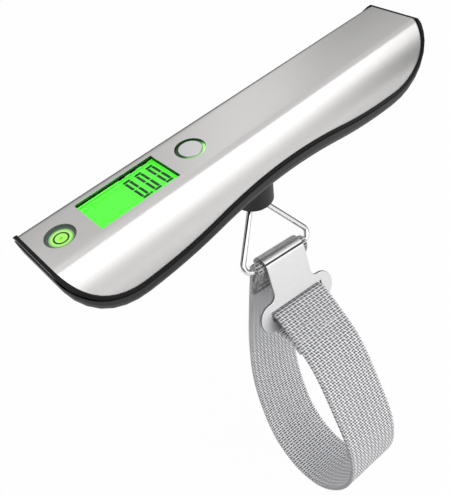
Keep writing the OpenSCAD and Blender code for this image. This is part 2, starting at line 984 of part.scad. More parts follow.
// Webbing: one band from the sewn flap, over the ring's base, round the loop
// and through the plate's slot to the sewn fold
// Points of the loop in hundredths of its depth and length
loop_shape = [
    [5, -19.5], [6, -41], [2.5, -63], [-8, -80.5], [-24, -94], [-46.5, -100], [-69, -97],
    [-86, -86], [-94, -72], [-90, -57], [-74, -42], [-54.5, -27.5], [-36, -20]
];
strap_route = [for (p = loop_shape) [p.x * loop_w, p.y * loop_l] / 100];
lead_deg = 20;
bar_at = bar_reach * [-sin(plate_deg), -cos(plate_deg)] + plate_n * [-cos(plate_deg), sin(plate_deg)];
slot_at = bar_at + loop_r * [-sin(lead_deg), cos(lead_deg)];
route = concat(
    [[wrap_r, 20], [wrap_r, 0]],
    strap_route,
    [slot_at, slot_at + 10 * [cos(lead_deg), sin(lead_deg)]]
);
spans = len(route) - 3;
span_steps = 5;

function spline(u) =
    let (
        i = min(floor(u), spans - 1),
        t = u - i,
        a = route[i],
        b = route[i + 1],
        c = route[i + 2],
        d = route[i + 3]
    )
    b + 0.5 * t * (c - a + t * (2 * a - 5 * b + 4 * c - d + t * (3 * (b - c) + d - a)));

function heading(u) =
    let (d = spline(min(spans, u + 0.01)) - spline(max(0, u - 0.01)))
    d / norm(d);

function right_of(d) = [d.y, -d.x];
function ease(t) = let (k = max(0, min(1, t))) k * k * (3 - 2 * k);

// Second layer beside the band: opens from a lying layer to the turn's width
function beside(u, s, open) =
    spline(u) + right_of(heading(u)) * (open + (strap_t + free / 2 - open) * ease((s - open / 2) / 8));

first_l = norm(route[2] - route[1]);
last_l = norm(route[spans] - route[spans - 1]);
near_l = norm(route[spans + 1] - route[spans]);

function fold_u(s) = s < near_l ? spans - s / near_l : spans - 1 - (s - near_l) / last_l;

layer_steps = 8;
turn_steps = 10;
strap_line = concat(
    [for (i = [layer_steps:-1:1]) let (s = flap_l * i / layer_steps) beside(s / first_l, s, 2 * wrap_r)],
    [for (i = [0:turn_steps]) let (a = 180 - 180 * i / turn_steps) wrap_r * [cos(a), sin(a)]],
    [for (i = [1:spans * span_steps - 1]) spline(i / span_steps)],
    [for (i = [0:turn_steps]) let (a = 90 + lead_deg - 180 * i / turn_steps) bar_at + loop_r * [cos(a), sin(a)]],
    [for (i = [1:layer_steps]) let (s = fold_l * i / layer_steps) beside(fold_u(s), s, 2 * loop_r)]
);

function line_heading(i) =
    let (
        n = len(strap_line),
        d = strap_line[min(n - 1, i + 1)] - strap_line[max(0, i - 1)]
    )
    d / norm(d);

function strap_edge(side, i) = strap_line[i] + side * strap_t / 2 * right_of(line_heading(i));

module strap() {
    n = len(strap_line);
    color("lightgray")
        at_base()
            along_x(strap_w)
                polygon(concat(
                    [for (i = [0:n - 1]) strap_edge(1, i)],
                    [for (i = [n - 1:-1:0]) strap_edge(-1, i)]
                ));
}

steel_cover();
upper_frame();
lower_housing();
display_lens();
lcd_panel();
backlight_panel();
lcd_holder();
zebra_strip();
level_vial();
level_fluid();
level_plug();
button_light_ring();
power_button();
switch_plunger();
tact_switch();
main_board();
chip_blob();
board_screw_front();
board_screw_back();
load_cell();
gauge_top();
gauge_bottom();
gauge_ribbon();
cell_screw_inner();
cell_screw_outer();
thrust_washer();
load_hook();
hook_nut();
coin_cell();
battery_door();
contact_centre();
contact_edge();
case_screw_1();
case_screw_2();
case_screw_3();
case_screw_4();
triangle_ring();
hook_plate();
strap();
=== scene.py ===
import json
import random
from math import copysign, cos, pi, radians, sin
import bmesh
import bpy
from mathutils import Matrix, Vector
from mathutils.bvhtree import BVHTree


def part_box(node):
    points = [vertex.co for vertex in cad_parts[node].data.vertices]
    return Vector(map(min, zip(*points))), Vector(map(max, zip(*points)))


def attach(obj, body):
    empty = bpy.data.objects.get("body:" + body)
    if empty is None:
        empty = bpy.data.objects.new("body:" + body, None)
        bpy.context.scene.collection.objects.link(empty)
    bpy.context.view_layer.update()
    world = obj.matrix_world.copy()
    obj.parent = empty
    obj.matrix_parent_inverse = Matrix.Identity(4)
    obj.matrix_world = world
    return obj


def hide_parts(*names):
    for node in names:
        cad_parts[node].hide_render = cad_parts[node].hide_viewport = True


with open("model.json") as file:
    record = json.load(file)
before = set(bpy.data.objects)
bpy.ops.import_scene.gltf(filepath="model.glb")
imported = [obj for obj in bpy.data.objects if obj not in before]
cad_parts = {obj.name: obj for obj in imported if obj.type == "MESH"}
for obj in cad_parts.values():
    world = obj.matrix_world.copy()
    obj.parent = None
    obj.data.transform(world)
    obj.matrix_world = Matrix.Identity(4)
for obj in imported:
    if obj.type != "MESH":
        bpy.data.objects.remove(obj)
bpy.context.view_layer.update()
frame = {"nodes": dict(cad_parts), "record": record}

nodes = frame["nodes"]
mm = 0.001
scene = bpy.context.scene
scene.view_settings.view_transform = "Standard"
slotOf = {row["node"]: row["material_slot"] for row in frame["record"]["subparts"]}
bodyOf = {node: body for body, held in frame["record"]["behaviour"]["bodies"].items() for node in held}
print("frame loaded", len(nodes), "nodes")

# camera, fitted to the edges of the steel cover
cameraPlace = {
    "centre": (-101.234, -127.459, 109.874),
    "right": (0.72799524, -0.66899238, -0.14990706),
    "up": (0.5688426, 0.4673681, 0.67674601),
    "back": (-0.38267614, -0.5779414, 0.72079311),
    "lens": 43.55, "sensor": 36.0, "clip": (0.005, 20.0),
}
eye = bpy.data.cameras.new("photoEye")
eye.sensor_fit = "VERTICAL"
eye.sensor_width = eye.sensor_height = cameraPlace["sensor"]
eye.lens = cameraPlace["lens"]
eye.clip_start, eye.clip_end = cameraPlace["clip"]
eyeObject = bpy.data.objects.new("photoEye", eye)
scene.collection.objects.link(eyeObject)
axes = [Vector(cameraPlace[way]) for way in ("right", "up", "back")]
eyeTurn = Matrix(axes).transposed().to_4x4()
eyeTurn.translation = Vector(cameraPlace["centre"]) * mm
eyeObject.matrix_world = eyeTurn
scene.camera = eyeObject


def addNode(tree, kind, values=None, **settings):
    node = tree.nodes.new(kind)
    for key, value in settings.items():
        setattr(node, key, value)
    for key, value in (values or {}).items():
        node.inputs[key].default_value = value
    return node


def wire(tree, start, end):
    tree.links.new(start, end)


def rgb(colour):
    return (colour[0], colour[1], colour[2], 1.0)


def grey(tone):
    return (tone, tone, tone)


def calc(tree, operation, *terms):
    node = addNode(tree, "ShaderNodeMath", operation=operation)
    for place, term in zip(node.inputs, terms):
        if isinstance(term, (int, float)):
            place.default_value = term
        else:
            wire(tree, term, place)
    return node.outputs[0]


def vectorCalc(tree, operation, *terms):
    node = addNode(tree, "ShaderNodeVectorMath", operation=operation)
    for place, term in zip(node.inputs, terms):
        if isinstance(term, tuple):
            place.default_value = term
        else:
            wire(tree, term, place)
    return node.outputs["Value" if operation in ("LENGTH", "DISTANCE", "DOT_PRODUCT") else "Vector"]


def addRamp(tree, factor, stops):
    ramp = addNode(tree, "ShaderNodeValToRGB")
    marks = ramp.color_ramp.elements
    marks[0].position, marks[1].position = stops[0][0], stops[-1][0]
    for place, colour in stops[1:-1]:
        marks.new(place)
    for mark, (place, colour) in zip(marks, stops):
        mark.color = rgb(colour)
    wire(tree, factor, ramp.inputs["Fac"])
    return ramp.outputs["Color"]


mixSockets = {"factor": 0, "first": 6, "second": 7, "result": 2}  # the colour sockets of a Mix node


def mixTones(tree, factor, first, second, blend="MIX"):
    mix = addNode(tree, "ShaderNodeMix", data_type="RGBA", blend_type=blend)
    for label, term in (("factor", factor), ("first", first), ("second", second)):
        place = mix.inputs[mixSockets[label]]
        if isinstance(term, bpy.types.NodeSocket):
            wire(tree, term, place)
        else:
            place.default_value = rgb(term) if isinstance(term, tuple) else term
    return mix.outputs[mixSockets["result"]]


def mixShaders(tree, factor, first, second):
    mix = addNode(tree, "ShaderNodeMixShader")
    for start, place in zip((factor, first.outputs[0], second.outputs[0]), mix.inputs):
        wire(tree, start, place)
    return mix


def splitAxes(tree, vector):
    parts = addNode(tree, "ShaderNodeSeparateXYZ")
    wire(tree, vector, parts.inputs[0])
    return parts.outputs


def addPiece(name, bm, *looks):
    mesh = bpy.data.meshes.new(name)
    bm.to_mesh(mesh)
    bm.free()
    for look in looks:
        mesh.materials.append(look)
    piece = bpy.data.objects.new(name, mesh)
    scene.collection.objects.link(piece)
    return piece


# studio: pale floor, a room that darkens towards the horizon, and four soft lights
studio = {
    "floorLevel": -0.172, "floorHalf": 0.85, "floorTone": 0.9, "floorGlow": 0.965, "floorMirror": 0.25,
    "fillLight": 0.6, "aim": (0, 0, -0.03),
    "roomTones": [(0.0, 0.1), (0.17, 0.14), (0.34, 0.42), (0.5, 0.72), (0.64, 0.93), (0.87, 1.0)],
}
softLights = {
    "frontBox": {"shape": "ELLIPSE", "towards": (0.2912, -0.7995, 0.5255), "distance": 0.7,
                 "size": (1.17, 0.41), "glow": 1.6},
    "lowCard": {"shape": "RECTANGLE", "towards": (0.2, -0.98, 0.04), "distance": 0.62,
                "size": (0.86, 0.32), "glow": 0.9},
    "backBox": {"shape": "RECTANGLE", "towards": (0.52, 0.65, 0.56), "distance": 0.9,
                "size": (0.22, 0.4), "glow": 0.55},
    "overheadBox": {"shape": "RECTANGLE", "towards": (-0.35, -0.1, 0.95), "distance": 0.9,
                    "size": (0.6, 0.6), "glow": 0.8},
}


def buildFloor():
    bm = bmesh.new()
    bmesh.ops.create_grid(bm, x_segments=4, y_segments=4, size=studio["floorHalf"])
    bmesh.ops.translate(bm, verts=bm.verts, vec=(0, 0, studio["floorLevel"]))
    paper = bpy.data.materials.new("paperFloor")
    paper.use_nodes = True
    tree = paper.node_tree
    tree.nodes.clear()
    path = addNode(tree, "ShaderNodeLightPath").outputs
    seen = calc(tree, "MAXIMUM", path["Is Camera Ray"], path["Is Transmission Ray"])
    shown = calc(tree, "MULTIPLY", seen, studio["floorGlow"])
    mirrored = calc(tree, "MULTIPLY", path["Is Glossy Ray"], studio["floorMirror"])
    lit = addNode(tree, "ShaderNodeBsdfDiffuse", {"Color": rgb(grey(studio["floorTone"]))})
    glow = addNode(tree, "ShaderNodeEmission", {"Color": rgb(grey(1.0)), "Strength": 1.0})
    upper = mixShaders(tree, calc(tree, "MAXIMUM", shown, mirrored), lit, glow)
    back = addNode(tree, "ShaderNodeNewGeometry").outputs["Backfacing"]
    clear = addNode(tree, "ShaderNodeBsdfTransparent")
    oneWay = mixShaders(tree, back, upper, clear)  # the underside can be seen through the floor
    out = addNode(tree, "ShaderNodeOutputMaterial")
    wire(tree, oneWay.outputs[0], out.inputs["Surface"])
    floor = addPiece("studioFloor", bm, paper)


def buildRoom():
    world = bpy.data.worlds.new("studioRoom")
    scene.world = world
    world.use_nodes = True
    tree = world.node_tree
    tree.nodes.clear()
    path = addNode(tree, "ShaderNodeLightPath").outputs
    height = splitAxes(tree, addNode(tree, "ShaderNodeTexCoord").outputs["Generated"])["Z"]
    tones = addRamp(tree, height, [(place, grey(tone)) for place, tone in studio["roomTones"]])
    mirrored = calc(tree, "MAXIMUM", path["Is Glossy Ray"], path["Is Transmission Ray"])
    lit = mixTones(tree, mirrored, grey(studio["fillLight"]), tones)
    air = addNode(tree, "ShaderNodeBackground", {"Strength": 1.0})
    wire(tree, mixTones(tree, path["Is Camera Ray"], lit, grey(1.0)), air.inputs["Color"])
    out = addNode(tree, "ShaderNodeOutputWorld")
    wire(tree, air.outputs[0], out.inputs["Surface"])


def addSoftLight(name, box):
    lamp = bpy.data.lights.new(name, "AREA")
    lamp.shape = box["shape"]
    lamp.size, lamp.size_y = box["size"]
    area = box["size"][0] * box["size"][1] * (pi / 4 if box["shape"] == "ELLIPSE" else 1)
    lamp.energy = box["glow"] * pi * area  # glow is the face's own brightness
    lampObject = bpy.data.objects.new(name, lamp)
    scene.collection.objects.link(lampObject)
    way = Vector(box["towards"]).normalized()
    lampObject.location = way * box["distance"] + Vector(studio["aim"])
    lampObject.rotation_euler = way.to_track_quat("Z", "Y").to_euler()


buildFloor()
buildRoom()
for name, box in softLights.items():
    addSoftLight(name, box)
print("studio built")


def newGroup(name, inputs, outputs):
    group = bpy.data.node_groups.new(name, "ShaderNodeTree")
    for label, value in inputs.items():
        kind = "NodeSocketVector" if isinstance(value, tuple) else "NodeSocketFloat"
        socket = group.interface.new_socket(label, in_out="INPUT", socket_type=kind)
        socket.default_value = value
    for label in outputs:
        group.interface.new_socket(label, in_out="OUTPUT", socket_type="NodeSocketFloat")
    start = group.nodes.new("NodeGroupInput")
    end = group.nodes.new("NodeGroupOutput")
    return group, start.outputs, end.inputs


def addNoise(tree, vector, scale, detail, roughness, distortion=0.0):
    cloud = addNode(tree, "ShaderNodeTexNoise",
                    {"Detail": detail, "Roughness": roughness, "Distortion": distortion})
    wire(tree, vector, cloud.inputs["Vector"])
    if isinstance(scale, float):
        cloud.inputs["Scale"].default_value = scale
    else:
        wire(tree, scale, cloud.inputs["Scale"])
    return cloud.outputs


def shareValues(tree, first, second, share):
    return calc(tree, "MULTIPLY_ADD", first, share, calc(tree, "MULTIPLY", second, 1 - share))


def buildMouldGrain():
    # fine grain of a moulding, with slow cloudy change of gloss
    group, start, end = newGroup(
        "mouldGrain", {"Vector": (0, 0, 0), "Fineness": 2600.0, "Cloud": 70.0}, ("Height", "Shade"))
    fine = addNoise(group, start["Vector"], start["Fineness"], detail=2.0, roughness=0.55)[0]
    slow = addNoise(group, start["Vector"], start["Cloud"], detail=3.0, roughness=0.6)[0]
    wire(group, fine, end["Height"])
    wire(group, shareValues(group, fine, slow, share=0.45), end["Shade"])
    return group


def buildBrushLines():
    # long fine scratches along one way, broken up by slow smudges
    group, start, end = newGroup(
        "brushLines",
        {"Vector": (0, 0, 0), "Fineness": 6000.0, "Stretch": (0.012, 1.0, 1.0), "Cloud": 45.0},
        ("Height", "Shade", "Smudge"))
    pulled = vectorCalc(group, "MULTIPLY", start["Vector"], start["Stretch"])
    lines = addNoise(group, pulled, start["Fineness"], detail=4.0, roughness=0.7)[0]
    slow = addNoise(group, start["Vector"], start["Cloud"], detail=4.0, roughness=0.6, distortion=0.4)[0]
    wire(group, lines, end["Height"])
    wire(group, lines, end["Shade"])
    wire(group, shareValues(group, slow, lines, share=0.5), end["Smudge"])
    return group


def buildRoundPlace():
    # distance in millimetres from an upright axis, and how far towards the front a point lies
    group, start, end = newGroup(
        "roundPlace", {"Vector": (0, 0, 0), "Centre": (0, 0, 0)}, ("Radius", "Front"))
    off = vectorCalc(group, "SUBTRACT", start["Vector"], start["Centre"])
    flat = vectorCalc(group, "MULTIPLY", off, (1 / mm, 1 / mm, 0))
    frontWay = (0.2, -0.98, 0)
    front = vectorCalc(group, "DOT_PRODUCT", vectorCalc(group, "NORMALIZE", flat), frontWay)
    wire(group, vectorCalc(group, "LENGTH", flat), end["Radius"])
    wire(group, front, end["Front"])
    return group


# ribbed weave: how much the rows of cross threads, the pairs of long threads, the single threads
# and the slanting step show
weaveLook = {
    "wobble": 0.7, "drift": (0.5, 0.45, 0.0), "fibre": (2.5, 5.0, 1.0), "fuzz": 0.3, "level": 0.5,
    "rows": 0.26, "pairs": 0.12, "threads": 0.22, "steps": 0.06,
}


def buildWebWeave():
    group, start, end = newGroup(
        "webWeave", {"Vector": (0, 0, 0), "Rows": 1.08, "Pairs": 2.1, "Slant": 0.5},
        ("Thread", "Height", "Fuzz"))
    wobble = addNoise(group, start["Vector"], weaveLook["wobble"], detail=2.0, roughness=0.5)["Color"]
    parts = splitAxes(group, vectorCalc(group, "MULTIPLY_ADD", wobble, weaveLook["drift"], start["Vector"]))
    row = calc(group, "DIVIDE", parts["X"], start["Rows"])  # the UV map is in millimetres
    pair = calc(group, "DIVIDE", parts["Y"], start["Pairs"])
    step = calc(group, "MULTIPLY", row, start["Slant"])
    phases = {"rows": row, "pairs": pair, "threads": calc(group, "MULTIPLY_ADD", pair, 2.0, step),
              "steps": calc(group, "ADD", pair, step)}
    thread = weaveLook["level"]
    for part, phase in phases.items():
        wave = calc(group, "COSINE", calc(group, "MULTIPLY", phase, 2 * pi))
        thread = calc(group, "MULTIPLY_ADD", wave, weaveLook[part], thread)
    fibre = vectorCalc(group, "MULTIPLY", start["Vector"], weaveLook["fibre"])
    fuzz = addNoise(group, fibre, 1.0, detail=3.0, roughness=0.7)[0]
    wire(group, thread, end["Thread"])
    wire(group, calc(group, "MULTIPLY_ADD", fuzz, weaveLook["fuzz"], thread), end["Height"])
    wire(group, fuzz, end["Fuzz"])
    return group


mouldGrain = buildMouldGrain()
brushLines = buildBrushLines()
roundPlace = buildRoundPlace()
webWeave = buildWebWeave()


def newFinish(name, shaderValues):
    finish = bpy.data.materials.new(name)
    finish.use_nodes = True
    tree = finish.node_tree
    shader = tree.nodes["Principled BSDF"]
    for label, value in shaderValues.items():
        shader.inputs[label].default_value = value
    return finish, tree, shader


def placeGroup(tree, group, values, coords="Object"):
    where = addNode(tree, "ShaderNodeTexCoord")
    box = addNode(tree, "ShaderNodeGroup")
    box.node_tree = group
    for label, value in values.items():
        box.inputs[label].default_value = value
    wire(tree, where.outputs[coords], box.inputs["Vector"])
    return box.outputs


def spread(tree, factor, low, high, fromMin=0.3, fromMax=0.7):
    ramp = addNode(tree, "ShaderNodeMapRange",
                   {"From Min": fromMin, "From Max": fromMax, "To Min": low, "To Max": high})
    wire(tree, factor, ramp.inputs["Value"])
    return ramp.outputs["Result"]


def addBump(tree, shader, height, strength, depth):
    bump = addNode(tree, "ShaderNodeBump", {"Strength": strength, "Distance": depth * mm})
    wire(tree, height, bump.inputs["Height"])
    wire(tree, bump.outputs["Normal"], shader.inputs["Normal"])


def dressSurface(tree, shader, look, shade, gloss, height):
    tone = mixTones(tree, spread(tree, shade, 0, 1), look["dark"], look["light"])
    wire(tree, tone, shader.inputs["Base Color"])
    wire(tree, spread(tree, gloss, *look["rough"]), shader.inputs["Roughness"])
    addBump(tree, shader, height, look["bump"], look["depth"])


def mouldedFinish(name, look):
    finish, tree, shader = newFinish(name, look.get("shader", {}))
    grain = placeGroup(tree, mouldGrain, {"Fineness": look["fineness"], "Cloud": look["cloud"]})
    dressSurface(tree, shader, look, grain["Shade"], grain["Shade"], grain["Height"])
    return finish


def metalFinish(name, look):
    finish, tree, shader = newFinish(name, {"Metallic": 1.0})
    lines = placeGroup(tree, brushLines, {"Fineness": look["fineness"], "Stretch": look["stretch"],
                                          "Cloud": look["cloud"]})
    dressSurface(tree, shader, look, lines["Shade"], lines["Smudge"], lines["Height"])
    return finish


roundGrain = {"fineness": 700.0, "cloud": 140.0, "bump": 0.02, "depth": 0.02, "frontSpan": (-0.9, 0.9)}


def roundFinish(name, look):
    # lit or tinted piece whose tone and glow change from its middle outwards, or from back to front as
    # painted shade; on the level the glow is painted light
    finish, tree, shader = newFinish(name, look["shader"])
    spot = placeGroup(tree, roundPlace, {"Centre": tuple(c * mm for c in look["centre"])})
    if "reach" in look:
        factor = calc(tree, "DIVIDE", spot["Radius"], look["reach"])
    else:
        factor = spread(tree, spot["Front"], 0, 1, *roundGrain["frontSpan"])
    wire(tree, addRamp(tree, factor, look["tones"]), shader.inputs["Base Color"])
    wire(tree, addRamp(tree, factor, look["glow"]), shader.inputs["Emission Color"])
    grain = placeGroup(tree, mouldGrain, {"Fineness": roundGrain["fineness"], "Cloud": roundGrain["cloud"]})
    wire(tree, spread(tree, grain["Shade"], *look["rough"]), shader.inputs["Roughness"])
    addBump(tree, shader, grain["Height"], roundGrain["bump"], roundGrain["depth"])
    return finish


levelPlace = (-69.3, 0.0, 0.0)
buttonPlace = (-21.6, 0.0, 0.0)
alongBody = (0.012, 1.0, 1.0)
noWay = (1.0, 1.0, 1.0)
finishes = {
    "cover_steel": metalFinish("brushedSteel", {
        "dark": (0.56, 0.553, 0.548), "light": (0.592, 0.586, 0.58), "rough": (0.29, 0.35),
        "fineness": 5200.0, "stretch": alongBody, "cloud": 40.0, "bump": 0.03, "depth": 0.02}),
    "button_silver": metalFinish("buttonSteel", {
        "dark": (0.56, 0.56, 0.56), "light": (0.62, 0.62, 0.62), "rough": (0.25, 0.34),
        "fineness": 5200.0, "stretch": alongBody, "cloud": 60.0, "bump": 0.06, "depth": 0.02}),
    "polished_steel": metalFinish("polishedWire", {
        "dark": (0.74, 0.74, 0.745), "light": (0.82, 0.82, 0.825), "rough": (0.04, 0.1),
        "fineness": 2400.0, "stretch": noWay, "cloud": 120.0, "bump": 0.02, "depth": 0.02}),
    "satin_steel": metalFinish("satinPlate", {
        "dark": (0.71, 0.71, 0.715), "light": (0.79, 0.79, 0.795), "rough": (0.36, 0.46),
        "fineness": 3400.0, "stretch": (0.25, 1.0, 1.0), "cloud": 90.0, "bump": 0.06, "depth": 0.02}),
    "zinc_steel": metalFinish("zincSteel", {
        "dark": (0.5, 0.51, 0.53), "light": (0.66, 0.67, 0.68), "rough": (0.28, 0.42),
        "fineness": 3000.0, "stretch": noWay, "cloud": 160.0, "bump": 0.1, "depth": 0.02}),
    "cell_aluminium": metalFinish("milledAluminium", {
        "dark": (0.66, 0.67, 0.68), "light": (0.8, 0.81, 0.82), "rough": (0.32, 0.46),
        "fineness": 3600.0, "stretch": (1.0, 0.02, 1.0), "cloud": 90.0, "bump": 0.16, "depth": 0.03}),
    "gauge_foil": metalFinish("gaugeFoil", {
        "dark": (0.52, 0.3, 0.12), "light": (0.68, 0.42, 0.18), "rough": (0.3, 0.4),
        "fineness": 2600.0, "stretch": (1.0, 0.05, 1.0), "cloud": 160.0, "bump": 0.2, "depth": 0.03}),
    "contact_brass": metalFinish("contactBrass", {
        "dark": (0.62, 0.45, 0.2), "light": (0.76, 0.58, 0.28), "rough": (0.22, 0.34),
        "fineness": 3000.0, "stretch": (1.0, 1.0, 0.05), "cloud": 160.0, "bump": 0.1, "depth": 0.02}),
    "black_plastic": mouldedFinish("blackMoulding", {
        "dark": (0.006, 0.006, 0.0065), "light": (0.012, 0.012, 0.0125), "rough": (0.4, 0.52),
        "fineness": 2600.0, "cloud": 60.0, "bump": 0.2, "depth": 0.03,
        "shader": {"Specular IOR Level": 0.38}}),
    "dark_plastic": mouldedFinish("charcoalMoulding", {
        "dark": (0.03, 0.03, 0.032), "light": (0.05, 0.05, 0.052), "rough": (0.4, 0.52),
        "fineness": 2200.0, "cloud": 80.0, "bump": 0.2, "depth": 0.03}),
    "white_plastic": mouldedFinish("whiteMoulding", {
        "dark": (0.72, 0.72, 0.7), "light": (0.82, 0.82, 0.8), "rough": (0.35, 0.48),
        "fineness": 2200.0, "cloud": 80.0, "bump": 0.12, "depth": 0.02}),
    "grey_rubber": mouldedFinish("greyRubber", {
        "dark": (0.16, 0.16, 0.165), "light": (0.24, 0.24, 0.245), "rough": (0.6, 0.75),
        "fineness": 1800.0, "cloud": 120.0, "bump": 0.25, "depth": 0.04}),
    "board_green": mouldedFinish("circuitBoard", {
        "dark": (0.01, 0.09, 0.035), "light": (0.02, 0.16, 0.06), "rough": (0.25, 0.38),
        "fineness": 900.0, "cloud": 240.0, "bump": 0.15, "depth": 0.03}),
    "lens": mouldedFinish("clearWindow", {
        "dark": (0.95, 0.98, 0.95), "light": (0.98, 1.0, 0.98), "rough": (0.02, 0.06),
        "fineness": 300.0, "cloud": 60.0, "bump": 0.01, "depth": 0.01,
        "shader": {"Transmission Weight": 1.0, "IOR": 1.45, "Specular Tint": (0.2, 0.2, 0.2, 1)}}),
    "lcd_green": mouldedFinish("litPanel", {
        "dark": (0.035, 0.5, 0.015), "light": (0.05, 0.58, 0.025), "rough": (0.4, 0.5),
        "fineness": 1200.0, "cloud": 40.0, "bump": 0.02, "depth": 0.01,
        "shader": {"Emission Color": (0.085, 0.98, 0.035, 1), "Emission Strength": 0.8,
                   "Specular IOR Level": 0.1}}),
    # the level's vial and fluid glow as painted light; the level holds no lamp
    "vial_clear": roundFinish("vialAcrylicPaintedGlow", {
        "centre": levelPlace, "reach": 4.2, "rough": (0.12, 0.2),
        "tones": [(0.0, (0.13, 0.4, 0.05)), (0.5, (0.2, 0.5, 0.08)), (0.74, (0.16, 0.4, 0.09)),
                  (0.86, (0.07, 0.12, 0.06)), (0.92, (0.05, 0.06, 0.055))],
        "glow": [(0.0, (0.26, 0.72, 0.06)), (0.36, (0.44, 1.0, 0.15)), (0.6, (0.5, 1.0, 0.2)),
                 (0.74, (0.36, 0.8, 0.18)), (0.84, (0.17, 0.34, 0.13)), (0.92, (0.13, 0.16, 0.14))],
        "shader": {"Emission Strength": 0.66, "Specular IOR Level": 0.3}}),
    "fluid_lime": roundFinish("limeFluidPaintedGlow", {
        "centre": levelPlace, "reach": 3.1, "rough": (0.15, 0.25),
        "tones": [(0.0, (0.2, 0.6, 0.06)), (0.5, (0.3, 0.8, 0.1)), (0.8, (0.4, 0.9, 0.15)),
                  (1.0, (0.2, 0.6, 0.08))],
        "glow": [(0.0, (0.22, 0.72, 0.07)), (0.55, (0.34, 0.95, 0.13)), (0.68, (0.24, 0.78, 0.09)),
                 (0.85, (0.42, 0.98, 0.2)), (1.0, (0.2, 0.62, 0.08))],
        "shader": {"Emission Strength": 0.45}}),
    # the ring is lit, and its glow and tone fade from front to back as painted shade
    "light_ring": roundFinish("glowRing", {
        "centre": buttonPlace, "rough": (0.3, 0.42),
        "tones": [(0.0, (0.01, 0.03, 0.01)), (0.5, (0.02, 0.06, 0.02)), (1.0, (0.1, 0.25, 0.08))],
        "glow": [(0.0, (0.012, 0.04, 0.012)), (0.45, (0.04, 0.11, 0.03)), (0.62, (0.1, 0.32, 0.07)),
                 (0.74, (0.36, 0.95, 0.25)), (1.0, (0.6, 1.0, 0.48))],
        "shader": {"Emission Strength": 0.85, "Specular IOR Level": 0.2}}),
    "webbing": mouldedFinish("plainWeb", {
        "dark": (0.3, 0.3, 0.3), "light": (0.5, 0.5, 0.5), "rough": (0.8, 0.9),
        "fineness": 900.0, "cloud": 90.0, "bump": 0.3, "depth": 0.1}),
}


def objectPlace(tree):
    return addNode(tree, "ShaderNodeTexCoord").outputs["Object"]


def paintOver(finish, mask, tone):
    tree = finish.node_tree
    base = tree.nodes["Principled BSDF"].inputs["Base Color"]
    wire(tree, mixTones(tree, mask, base.links[0].from_socket, tone), base)


# painted shade on the walls of the holes in the flat top, tinted green as painted glow of the lit panel and
# ring; grey at the level
holeWallShade = {
    "below": -0.2, "halfWidth": 9.0, "levelEnd": -62.0,
    "tone": (0.02, 0.09, 0.025), "levelTone": (0.13, 0.15, 0.14),
}


def paintHoleWallShade(finish):
    tree = finish.node_tree
    parts = splitAxes(tree, objectPlace(tree))
    deep = calc(tree, "LESS_THAN", parts["Z"], holeWallShade["below"] * mm)
    middle = calc(tree, "LESS_THAN", calc(tree, "ABSOLUTE", parts["Y"]), holeWallShade["halfWidth"] * mm)
    cut = calc(tree, "MULTIPLY", deep, middle)
    byLevel = calc(tree, "LESS_THAN", parts["X"], holeWallShade["levelEnd"] * mm)
    # painted shade: the walls lose their metal and take a dark tone
    paintOver(finish, cut, mixTones(tree, byLevel, holeWallShade["tone"], holeWallShade["levelTone"]))
    wire(tree, calc(tree, "SUBTRACT", 1.0, cut), tree.nodes["Principled BSDF"].inputs["Metallic"])


# grey seat of the level in the black frame
levelSeat = {"depth": -0.85, "reach": 5.0, "tone": (0.13, 0.16, 0.14)}


def greySeat(finish):
    tree = finish.node_tree
    centre = (levelPlace[0] * mm, levelPlace[1] * mm, levelSeat["depth"] * mm)
    away = vectorCalc(tree, "DISTANCE", objectPlace(tree), centre)
    paintOver(finish, calc(tree, "LESS_THAN", away, levelSeat["reach"] * mm), levelSeat["tone"])


# painted reflection: a dark line where the plate starts to curl
foldReflectionLine = {
    "along": (-0.142, -0.369, -0.92), "outward": (0.02, -0.93, 0.37),
    "centre": 55.0, "half": (0.25, 0.45), "face": -5.5, "tone": (0.03, 0.03, 0.03),
}


def paintFoldReflection(finish):
    tree = finish.node_tree
    where = objectPlace(tree)
    along = vectorCalc(tree, "DOT_PRODUCT", where, foldReflectionLine["along"])
    outward = vectorCalc(tree, "DOT_PRODUCT", where, foldReflectionLine["outward"])
    away = calc(tree, "ABSOLUTE", calc(tree, "SUBTRACT", along, foldReflectionLine["centre"] * mm))
    line = spread(tree, away, 1, 0, *(half * mm for half in foldReflectionLine["half"]))
    face = calc(tree, "GREATER_THAN", outward, foldReflectionLine["face"] * mm)
    # the dark line is a painted reflection, not a mark in the metal
    paintOver(finish, calc(tree, "MULTIPLY", line, face), foldReflectionLine["tone"])


paintHoleWallShade(finishes["cover_steel"])
paintFoldReflection(finishes["satin_steel"])
nodeFinishes = {
    # painted shade: a darker copy of the black moulding, with weaker reflection, for the rim
    "upper_frame": mouldedFinish("shadedRimMoulding", {
        "dark": (0.003, 0.003, 0.0035), "light": (0.006, 0.006, 0.0065), "rough": (0.32, 0.42),
        "fineness": 2600.0, "cloud": 60.0, "bump": 0.12, "depth": 0.03,
        "shader": {"Specular IOR Level": 0.14}}),
}
greySeat(nodeFinishes["upper_frame"])
for name, node in nodes.items():
    for holder in node.material_slots:
        holder.material = nodeFinishes.get(name, finishes[slotOf[name]])
print("finishes placed on", len(slotOf), "nodes")

# rounded edges, in millimetres, on the nodes whose edges catch the light
edgeRounds = {"steel_cover": 0.18, "hook_plate": 0.3, "power_button": 0.3, "battery_door": 0.25}
edgeWork = {"weld": 0.002, "flatTurn": 0.3, "sharpTurn": 38.0, "sheetDepth": 2.2, "nudge": 0.01}
# sheared edges, rougher than the plate's faces, and darker as painted shade
shadedCutFinishes = {
    "hook_plate": metalFinish("shearedEdgeShaded", {
        "dark": (0.24, 0.24, 0.245), "light": (0.36, 0.36, 0.365), "rough": (0.4, 0.55),
        "fineness": 3400.0, "stretch": noWay, "cloud": 120.0, "bump": 0.2, "depth": 0.03}),
}


def smoothFaces(bm):
    for face in bm.faces:
        face.smooth = True


